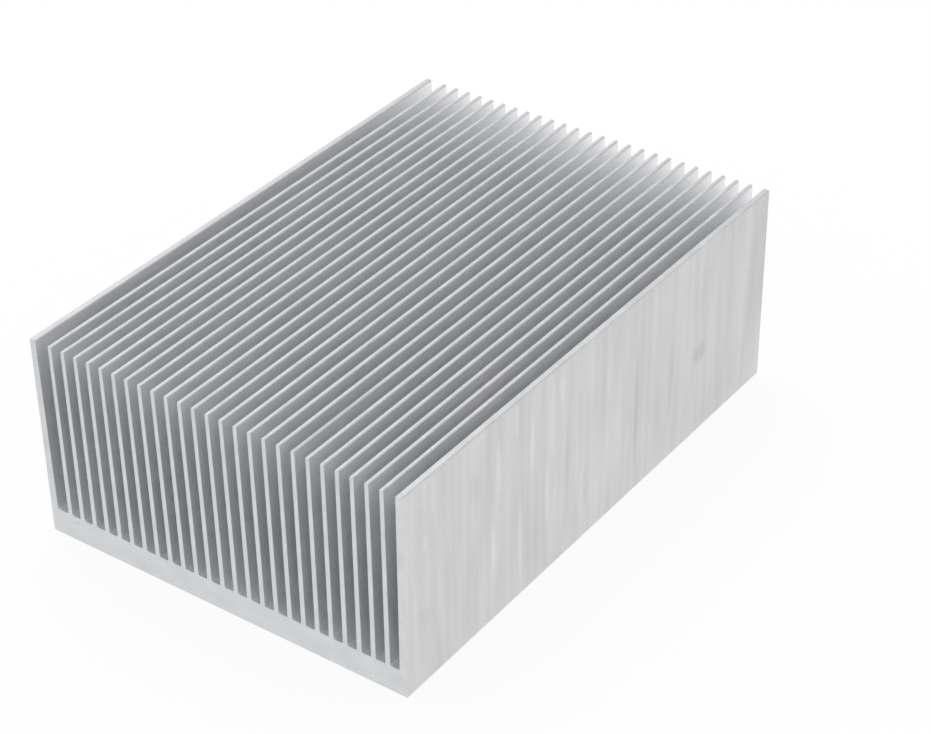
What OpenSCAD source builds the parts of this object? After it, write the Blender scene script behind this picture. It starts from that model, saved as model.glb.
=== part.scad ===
// Extruded aluminium heat sink: a flat base with a comb of thin, tapered fins between
// two thicker outer walls. One section pushed through a die, then sawn to length.
// X runs across the fins, Y along the extrusion and +Z from the mounting face to the tips.
// The origin is the centre of the mounting face.

/* [Overall size] */
// Width over the outer faces of the two outer walls
width = 69; // [50:0.5:110]
// Length sawn from the extruded bar
length = 100; // [30:1:300]
// Height from the mounting face to the fin tips
height = 36; // [20:0.5:45]

/* [Base] */
// Thickness of the base below the gap floors
base_thickness = 4.6; // [3:0.1:8]
// Radius along the two long edges of the mounting face
base_edge_radius = 0.2; // [0.1:0.05:1]

/* [Fins] */
// Distance from one fin to the next
fin_pitch = 2.565; // [2.4:0.005:5]
// How far the fins as a group sit from the middle of the base, towards +X
fins_offset = 0.25; // [-0.3:0.05:0.3]
// Thickness of a fin at its root
fin_root = 0.86; // [0.8:0.02:1.2]
// Thickness of a fin at its tip
fin_tip = 0.7; // [0.6:0.02:0.8]
// Radius of the fillet where a fin or wall meets the gap floor
root_radius = 0.2; // [0.1:0.05:0.4]
// Radius along each edge of a fin or wall tip
tip_radius = 0.25; // [0.05:0.01:0.28]

/* [Outer walls] */
// Thickness of an outer wall at its root
wall_root = 1.35; // [1.1:0.05:2]
// Thickness of an outer wall at its tip
wall_tip = 1.1; // [0.8:0.05:1.1]

/* [Leaning fins] */
// Sideways travel of the tip of the fin that leans most, towards -X
lean = 0.4; // [0:0.05:0.6]
// Place across the width of the fin that leans most, from the centre
lean_centre = -4; // [-10:1:10]
// Distance to either side over which the lean fades to nothing
lean_reach = 23; // [10:1:30]

/* [Smoothness] */
// Number of flats in each rounded corner
arc_flats = 4; // [2:1:8]

/* [Hidden] */

// Gap between two fins at the gap floor, and the room that the fins have between the walls
root_gap = fin_pitch - fin_root;
fin_room = width - 2 * wall_root;

// As many fins as the room holds with a full gap at either end. The room left over
// widens the first and the last gap, the first more where the fins sit off the middle.
fins = floor((fin_room - 2 * root_gap - fin_root) / fin_pitch) + 1;
function fin_place(i) = (i - (fins - 1) / 2) * fin_pitch + fins_offset;

// Tip of the fin whose root is centred at x: soft thin fins lean where the bar was
// handled, most at lean_centre and less to either side
function fin_lean(x) =
    lean * cos(min(90, 90 * abs(x - lean_centre) / lean_reach));

// Corners of the section on the way round, each as [x, z, radius]. A blade is a fin or
// a wall, given by its four faces: left root, right root, left tip and right tip.
left_wall = [-width / 2, wall_root - width / 2, -width / 2, wall_tip - width / 2];
right_wall = [width / 2 - wall_root, width / 2, width / 2 - wall_tip, width / 2];
function fin(x) = [
    x - fin_root / 2,
    x + fin_root / 2,
    x - fin_lean(x) - fin_tip / 2,
    x - fin_lean(x) + fin_tip / 2
];

blades = [
    left_wall,
    for (i = [0 : fins - 1]) fin(fin_place(i)),
    right_wall
];

// Corners of one blade's tip, and of the gap floor between it and the next blade
function tip_corners(blade) = [
    [blade[2], height, tip_radius],
    [blade[3], height, tip_radius]
];
function floor_corners(blade, next) = [
    [blade[1], base_thickness, root_radius],
    [next[0], base_thickness, root_radius]
];

section_corners = [
    [width / 2, 0, base_edge_radius],
    [-width / 2, 0, base_edge_radius],
    for (i = [0 : fins]) each concat(
        tip_corners(blades[i]),
        floor_corners(blades[i], blades[i + 1])
    ),
    each tip_corners(right_wall)
];

// Points of the arc that rounds the corner at p, between its neighbours a and b
function unit(v) = v / norm(v);
function arc(a, p, b, r) =
    let (
        to_a = unit(a - p),
        to_b = unit(b - p),
        half = acos(to_a * to_b) / 2,
        centre = p + unit(to_a + to_b) * r / sin(half),
        first = p + to_a * r / tan(half) - centre,
        side = sign(cross(to_a, to_b)),
        start = atan2(first.y, first.x),
        turn = -side * (180 - 2 * half)
    )
    [
        for (i = [0 : arc_flats])
            centre + r * [cos(start + turn * i / arc_flats), sin(start + turn * i / arc_flats)]
    ];

function point(corner) = [corner.x, corner.y];
function rounded(corners) = [
    for (i = [0 : len(corners) - 1]) each arc(
        point(corners[(i + len(corners) - 1) % len(corners)]),
        point(corners[i]),
        point(corners[(i + 1) % len(corners)]),
        corners[i].z
    )
];

// The extruded bar, with its section upright and its sawn ends at -Y and +Y
module heat_sink() {
    color("gainsboro")
        translate([0, length / 2, 0])
            rotate([90, 0, 0])
                linear_extrude(height = length)
                    polygon(rounded(section_corners));
}

heat_sink();
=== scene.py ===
"""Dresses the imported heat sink: mill-finish and sawn aluminium, on a pale floor in soft studio light."""

import math

import bmesh
import bpy
from mathutils import Matrix, Vector


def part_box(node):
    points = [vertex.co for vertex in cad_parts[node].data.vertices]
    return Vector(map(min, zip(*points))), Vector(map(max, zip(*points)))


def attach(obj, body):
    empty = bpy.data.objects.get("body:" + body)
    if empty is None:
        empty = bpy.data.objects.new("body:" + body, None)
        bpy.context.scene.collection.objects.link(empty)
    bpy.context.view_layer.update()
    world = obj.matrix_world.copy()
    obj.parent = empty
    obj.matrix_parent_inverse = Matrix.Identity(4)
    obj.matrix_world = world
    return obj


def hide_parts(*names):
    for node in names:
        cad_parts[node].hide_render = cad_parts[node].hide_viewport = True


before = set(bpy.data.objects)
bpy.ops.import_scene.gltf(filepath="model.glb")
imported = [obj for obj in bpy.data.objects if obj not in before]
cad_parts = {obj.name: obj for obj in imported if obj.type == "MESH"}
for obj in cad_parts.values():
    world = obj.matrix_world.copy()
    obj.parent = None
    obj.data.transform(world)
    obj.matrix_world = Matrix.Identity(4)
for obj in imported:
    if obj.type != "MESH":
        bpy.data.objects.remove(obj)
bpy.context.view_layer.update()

# ------------------------------------------------------------------ camera
# A long lens looks down at the corner between the comb of fins and the right-hand wall,
# from a little under arm's length, as one looks at a part on a table.
mm = 0.001
camera_azimuth = math.radians(35.86)
camera_elevation = math.radians(34.35)
camera_roll = math.radians(-0.74)
camera_aim = Vector((1.77, 10.42, 10.84)) * mm
camera_distance = 403.1 * mm

camera_turn = (
    Matrix.Rotation(camera_azimuth, 4, "Z")
    @ Matrix.Rotation(math.pi / 2 - camera_elevation, 4, "X")
    @ Matrix.Rotation(camera_roll, 4, "Z")
)
camera_offset = camera_turn @ Vector((0, 0, camera_distance))
camera = bpy.data.objects.new("camera", bpy.data.cameras.new("camera"))
bpy.context.scene.collection.objects.link(camera)
camera.matrix_world = Matrix.Translation(camera_aim + camera_offset) @ camera_turn
camera.data.sensor_width = 36
camera.data.lens = 95.17
camera.data.clip_start = 10 * mm
bpy.context.scene.camera = camera
bpy.context.scene.view_settings.view_transform = "Standard"

# Light finds its way out of the deep gaps only after many bounces between the fins.
bpy.context.scene.cycles.max_bounces = 24
bpy.context.scene.cycles.glossy_bounces = 24


# ------------------------------------------------------------------ studio
# A white paper sweep under a light tent: the paper fills the view behind the object and
# is mirrored in the metal, and keeps the object's soft shadow.
def hex_colour(code):
    """An sRGB hex colour as linear red, green, blue and alpha."""
    channels = [int(code[i : i + 2], 16) / 255 for i in (1, 3, 5)]
    linear = [c / 12.92 if c <= 0.04045 else ((c + 0.055) / 1.055) ** 2.4 for c in channels]
    return (*linear, 1)


def add_node(tree, kind, settings=None, **inputs):
    """Adds a shader node. Settings are its own properties, and each input is a value or
    the output socket that feeds it, named as the socket is, with _ for a space."""
    node = tree.nodes.new(kind)
    for name, value in (settings or {}).items():
        setattr(node, name, value)
    for name, value in inputs.items():
        number = name.removeprefix("input_")
        socket = node.inputs[int(number) if number.isdigit() else name.replace("_", " ")]
        if isinstance(value, bpy.types.NodeSocket):
            tree.links.new(value, socket)
        else:
            socket.default_value = value
    return node


def empty_material(name):
    """A node material with nothing in it but its output. Returns it and its output node."""
    material = bpy.data.materials.new(name)
    material.use_nodes = True
    material.node_tree.nodes.clear()
    return material, material.node_tree.nodes.new("ShaderNodeOutputMaterial")


def seen_directly(tree):
    """1 where a camera, mirror or glass ray looks, and 0 where light only bounces."""
    rays = add_node(tree, "ShaderNodeLightPath").outputs
    mirrored = add_node(
        tree,
        "ShaderNodeMath",
        {"operation": "MAXIMUM"},
        input_0=rays["Is Glossy Ray"],
        input_1=rays["Is Transmission Ray"],
    )
    return add_node(
        tree,
        "ShaderNodeMath",
        {"operation": "MAXIMUM"},
        input_0=rays["Is Camera Ray"],
        input_1=mirrored.outputs[0],
    ).outputs[0]


# Half the floor's side in metres, and how far it lies below the object, so that the two
# faces don't coincide
floor_half = 3
floor_drop = 0.05 * mm
paper_white = hex_colour("#F6F6F6")
# How much of the paper's look is plain white light, where it is looked at directly
paper_glow = 0.88

paper, paper_output = empty_material("white_paper")
paper_share = add_node(
    paper.node_tree,
    "ShaderNodeMath",
    {"operation": "MULTIPLY"},
    input_0=seen_directly(paper.node_tree),
    input_1=paper_glow,
)
paper_matt = add_node(paper.node_tree, "ShaderNodeBsdfDiffuse", Color=paper_white)
paper_light = add_node(paper.node_tree, "ShaderNodeEmission", Color=(1, 1, 1, 1), Strength=1)
paper_mix = add_node(
    paper.node_tree,
    "ShaderNodeMixShader",
    Fac=paper_share.outputs[0],
    input_1=paper_matt.outputs[0],
    input_2=paper_light.outputs[0],
)
paper.node_tree.links.new(paper_mix.outputs[0], paper_output.inputs["Surface"])

floor_shape = bmesh.new()
bmesh.ops.create_grid(floor_shape, x_segments=1, y_segments=1, size=floor_half)
bmesh.ops.translate(floor_shape, vec=(0, 0, -floor_drop), verts=floor_shape.verts)
floor_mesh = bpy.data.meshes.new("floor")
floor_shape.to_mesh(floor_mesh)
floor_shape.free()
floor = bpy.data.objects.new("floor", floor_mesh)
floor.data.materials.append(paper)
bpy.context.scene.collection.objects.link(floor)

tent_strength = 0.95
tent = bpy.data.worlds.new("light_tent")
bpy.context.scene.world = tent
tent.use_nodes = True
tent_light = tent.node_tree.nodes["Background"]
tent_light.inputs["Color"].default_value = (1, 1, 1, 1)
tent_light.inputs["Strength"].default_value = tent_strength

# A square softbox above and to the left of the object, facing it, in metres and watts
softbox_place = Vector((-0.5, 0.2, 1.0))
softbox_size = 0.8
softbox_power = 2.5

lamp = bpy.data.lights.new("overhead_softbox", "AREA")
lamp.size = softbox_size
lamp.energy = softbox_power
softbox = bpy.data.objects.new("overhead_softbox", lamp)
softbox.location = softbox_place
softbox.rotation_euler = (-softbox_place).to_track_quat("-Z", "Y").to_euler()
bpy.context.scene.collection.objects.link(softbox)

# --------------------------------------------------------- heat sink: shape
# One piece of aluminium: the bar is pushed hot through a die and cut to length by a
# circular saw. The sharp corner all round each sawn end is slightly broken.
sawn_edge = 0.1 * mm
weld_distance = 0.001 * mm
flat_angle = math.radians(0.5)
end_tolerance = 0.01 * mm

low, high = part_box("heat_sink")
bare = bmesh.new()
bare.from_mesh(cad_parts["heat_sink"].data)
bmesh.ops.remove_doubles(bare, verts=bare.verts, dist=weld_distance)
bmesh.ops.dissolve_limit(bare, angle_limit=flat_angle, verts=bare.verts, edges=bare.edges)
sawn_edges = [
    edge
    for edge in bare.edges
    if all(min(v.co.y - low.y, high.y - v.co.y) < end_tolerance for v in edge.verts)
]
bmesh.ops.bevel(
    bare,
    geom=sawn_edges,
    offset=sawn_edge,
    segments=2,
    profile=0.5,
    affect="EDGES",
    clamp_overlap=True,
    material=-1,
)

# Which finish each face has: the sawn ends with their broken edge, the fin tips down to tip_depth
# (painted shade), the outside in to skin_depth, or else the gaps (painted light)
SAWN, TIPS, OUTER, GAPS_PAINTED_LIGHT = 0, 1, 2, 3
sawn_slant = 0.3
tip_depth = 0.24 * mm
skin_depth = 0.2 * mm
for face in bare.faces:
    middle = face.calc_center_median()
    outside = min(middle.x - low.x, high.x - middle.x, middle.z - low.z)
    if abs(face.normal.y) > sawn_slant:
        face.material_index = SAWN
    elif high.z - middle.z < tip_depth:
        face.material_index = TIPS
    elif outside < skin_depth:
        face.material_index = OUTER
    else:
        face.material_index = GAPS_PAINTED_LIGHT
bar_mesh = bpy.data.meshes.new("sawn_bar")
bare.to_mesh(bar_mesh)
bare.free()
bar = bpy.data.objects.new("sawn_bar", bar_mesh)
bpy.context.scene.collection.objects.link(bar)
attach(bar, "root")
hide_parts("heat_sink")


# ------------------------------------------------- heat sink: gap skin, painted light
# The extruded aluminium down in the gaps, given a brighter colour than the outside: painted
# light, so that the gaps glow softly. It is satin, and the die leaves straight lines along it.
def pattern(tree, size, detail=2.0):
    """Soft noise about -1 to 1, whose features have a size along X, Y and Z in mm.
    The noise node keeps mostly between 0.3 and 0.7, which is stretched to that range."""
    place = add_node(tree, "ShaderNodeTexCoord").outputs["Object"]
    scaled = add_node(
        tree,
        "ShaderNodeMapping",
        Vector=place,
        Scale=[1 / (length * mm) for length in size],
    )
    noise = add_node(
        tree, "ShaderNodeTexNoise", Vector=scaled.outputs[0], Scale=1.0, Detail=detail
    )
    return add_node(
        tree,
        "ShaderNodeMapRange",
        {"clamp": False},
        Value=noise.outputs[0],
        From_Min=0.3,
        From_Max=0.7,
        To_Min=-1.0,
        To_Max=1.0,
    ).outputs[0]


def blend(tree, *shares):
    """Adds up patterns, each given as its socket and its share of the whole."""
    total = 0.0
    for socket, share in shares:
        total = add_node(
            tree,
            "ShaderNodeMath",
            {"operation": "MULTIPLY_ADD"},
            input_0=socket,
            input_1=share,
            input_2=total,
        ).outputs[0]
    return total


def aluminium(name, dark, light, tone, roughness, relief, depth):
    """Bare metal between two colours: tone runs from -1 to 1, relief is depth mm high."""
    material, output = empty_material(name)
    tree = material.node_tree
    middle = add_node(
        tree,
        "ShaderNodeMapRange",
        Value=tone(tree),
        From_Min=-1.0,
        From_Max=1.0,
        To_Min=0.0,
        To_Max=1.0,
    )
    colour = add_node(
        tree,
        "ShaderNodeMix",
        {"data_type": "RGBA"},
        input_0=middle.outputs[0],
        input_6=hex_colour(dark),
        input_7=hex_colour(light),
    )
    bump = add_node(
        tree,
        "ShaderNodeBump",
        Strength=1.0,
        Distance=depth * mm,
        Height=relief(tree),
    )
    metal = add_node(
        tree,
        "ShaderNodeBsdfPrincipled",
        Base_Color=colour.outputs[2],
        Metallic=1.0,
        Roughness=roughness,
        Normal=bump.outputs[0],
    )
    tree.links.new(metal.outputs[0], output.inputs["Surface"])
    return material


# One die line's width and length in mm. Real ones are under 0.1 mm wide, too fine to show.
die_line = (0.25, 60, 0.25)


def gap_tone(tree):
    return blend(tree, (pattern(tree, die_line), 0.5), (pattern(tree, (9, 14, 9)), 0.4))


def die_relief(tree):
    return pattern(tree, die_line, 3.0)


# Its colours are painted light: brighter than the outside skin's, so that the gaps glow softly.
gap_skin_painted_light = aluminium(
    "gap_aluminium_painted_light", "#F0F1F3", "#FBFBFB", gap_tone, 0.54, die_relief, 0.003
)


# --------------------------------------------------- heat sink: outer skin
# The same skin on the outside of the bar, in a plainer grey than the gaps. Cloudy streaks up
# and down the walls and narrow light and dark lines are painted reflections, and there is one dark oval.
def mark(tree, place, reach):
    """1 in the middle of a soft oval mark and 0 outside it. Place and reach are in mm."""
    position = add_node(tree, "ShaderNodeTexCoord").outputs["Object"]
    centred = add_node(
        tree,
        "ShaderNodeMapping",
        Vector=position,
        Location=[-p / r for p, r in zip(place, reach)],
        Scale=[1 / (r * mm) for r in reach],
    )
    away = add_node(
        tree, "ShaderNodeVectorMath", {"operation": "LENGTH"}, input_0=centred.outputs[0]
    )
    return add_node(
        tree,
        "ShaderNodeMapRange",
        {"interpolation_type": "SMOOTHSTEP"},
        Value=away.outputs["Value"],
        From_Min=0.2,
        From_Max=1.0,
        To_Min=1.0,
        To_Max=0.0,
    ).outputs[0]


# Painted reflections on the right-hand wall, and one dark oval: place along the bar, height,
# half width and half height in mm, and how light (up to 1) or dark (down to -1) each is, times the
# strength below
reflection_strength = 0.8
mark_depth = 3
right_wall_painted_reflections = (
    (-45, 25, 1.2, 2.5, 0.5),
    (-44, 19, 1.5, 7, 0.3),
    (-46, 12, 3, 3, -0.3),
    (-33, 27, 2, 4, -0.5),
    (-28.5, 13, 0.8, 8, 0.9),
    (-27, 27, 0.9, 8, 0.8),
    (-22.5, 33, 0.9, 5, 0.7),
    (-21.5, 10, 0.9, 12, 1.0),
    (-18.5, 26, 0.9, 8, 0.8),
    (-19, 10, 7, 14, -0.5),
    (-14.5, 14, 0.9, 8, 0.9),
    (-13, 28, 0.9, 11, 0.9),
    (-10.5, 31, 1, 5, 0.7),
    (-9, 14, 0.9, 18, -0.7),
    (-4, 9, 1.2, 6, -0.6),
    (-3, 30, 5, 9, 0.5),
    (2.5, 28, 1.5, 9, 0.4),
    (8, 11, 1, 5, 0.4),
    (10.5, 14, 0.9, 17, -0.9),
    (20.7, 15, 1, 10, -0.7),
    (25, 20, 5, 12, 0.4),
    (30, 27, 1, 8, -0.5),
    (29.5, 15.5, 3, 2.6, -1.0),
    (42.5, 24, 2.5, 16, 0.5),
    (47, 21, 4, 16, -0.6),
)


# The grain is drawn a few times coarser than the real one, so that it shows.
def outer_reflections_and_grain(tree):
    # The clouds and streaks stretched up and down the wall are painted reflections; the grain is the
    # metal's own.
    clouds = pattern(tree, (18, 9, 22), 3.0)
    streaks = pattern(tree, (30, 1.8, 26), 2.0)
    grain = pattern(tree, (0.35, 0.35, 0.35), 1.0)
    # The marks are painted reflections, and one dark oval.
    marks = [
        (
            mark(tree, (high.x / mm, y, z), (mark_depth, half_width, half_height)),
            shade * reflection_strength,
        )
        for y, z, half_width, half_height, shade in right_wall_painted_reflections
    ]
    return blend(tree, (clouds, 0.25), (streaks, 0.35), (grain, 0.1), *marks)


outer_skin = aluminium(
    "outer_extruded_aluminium", "#CBCBCA", "#E7E7E8", outer_reflections_and_grain, 0.46, die_relief, 0.003
)


# ------------------------------------------------------- heat sink: fin tips
# The narrow rounded top of each fin and wall, whose darker grey is painted shade, to hold back the light
# from above.
# One fin, about three quarters of the way across, is dull for its first quarter.
def tip_tone(tree):
    dull_fin = mark(tree, (15.5, -40, 36), (1.2, 16, 3))
    grain = pattern(tree, (0.3, 0.6, 0.3), 2.0)
    return blend(tree, (pattern(tree, (6, 4, 6)), 0.4), (grain, 0.4), (dull_fin, -1.5))


def tip_relief(tree):
    return pattern(tree, (0.2, 0.5, 0.2), 3.0)


# The tips' colours are painted shade, darker than the outer walls'.
tips = aluminium(
    "fin_tip_aluminium_painted_shade", "#C0C1C3", "#D9DADB", tip_tone, 0.5, tip_relief, 0.004
)


# ------------------------------------------------------ heat sink: sawn ends
# The ends cut by a circular saw about 350 mm across, which came from below and the left: a
# finely torn, light matt grey, with shallow arcs where the teeth passed.
# The saw's centre across and up, and the distance from one arc to the next, in mm. The
# wave node draws 20 radians for each unit at scale 1.
saw_centre = (-90, -150)
arc_spacing = 0.5236
radians_per_unit = 20


def sawn_tone(tree):
    grain = pattern(tree, (0.22, 0.22, 0.22), 2.0)
    speck = mark(tree, (-29, -50, 3.6), (0.45, 1, 0.4))
    return blend(tree, (pattern(tree, (5, 5, 3)), 0.4), (grain, 0.35), (speck, -4.0))


def sawn_relief(tree):
    position = add_node(tree, "ShaderNodeTexCoord").outputs["Object"]
    from_saw = add_node(
        tree,
        "ShaderNodeMapping",
        Vector=position,
        Location=(-saw_centre[0] * mm, 0, -saw_centre[1] * mm),
        Scale=(1, 0, 1),
    )
    arcs = add_node(
        tree,
        "ShaderNodeTexWave",
        {"wave_type": "RINGS", "rings_direction": "SPHERICAL"},
        Vector=from_saw.outputs[0],
        Scale=2 * math.pi / (radians_per_unit * arc_spacing * mm),
        Distortion=2.0,
        Detail=2.0,
    )
    return blend(tree, (arcs.outputs[1], 0.6), (pattern(tree, (0.15, 0.15, 0.15), 3.0), 0.4))


sawn = aluminium(
    "sawn_aluminium", "#D0D2D4", "#E4E6E8", sawn_tone, 0.5, sawn_relief, 0.004
)
for finish in (sawn, tips, outer_skin, gap_skin_painted_light):
    bar.data.materials.append(finish)
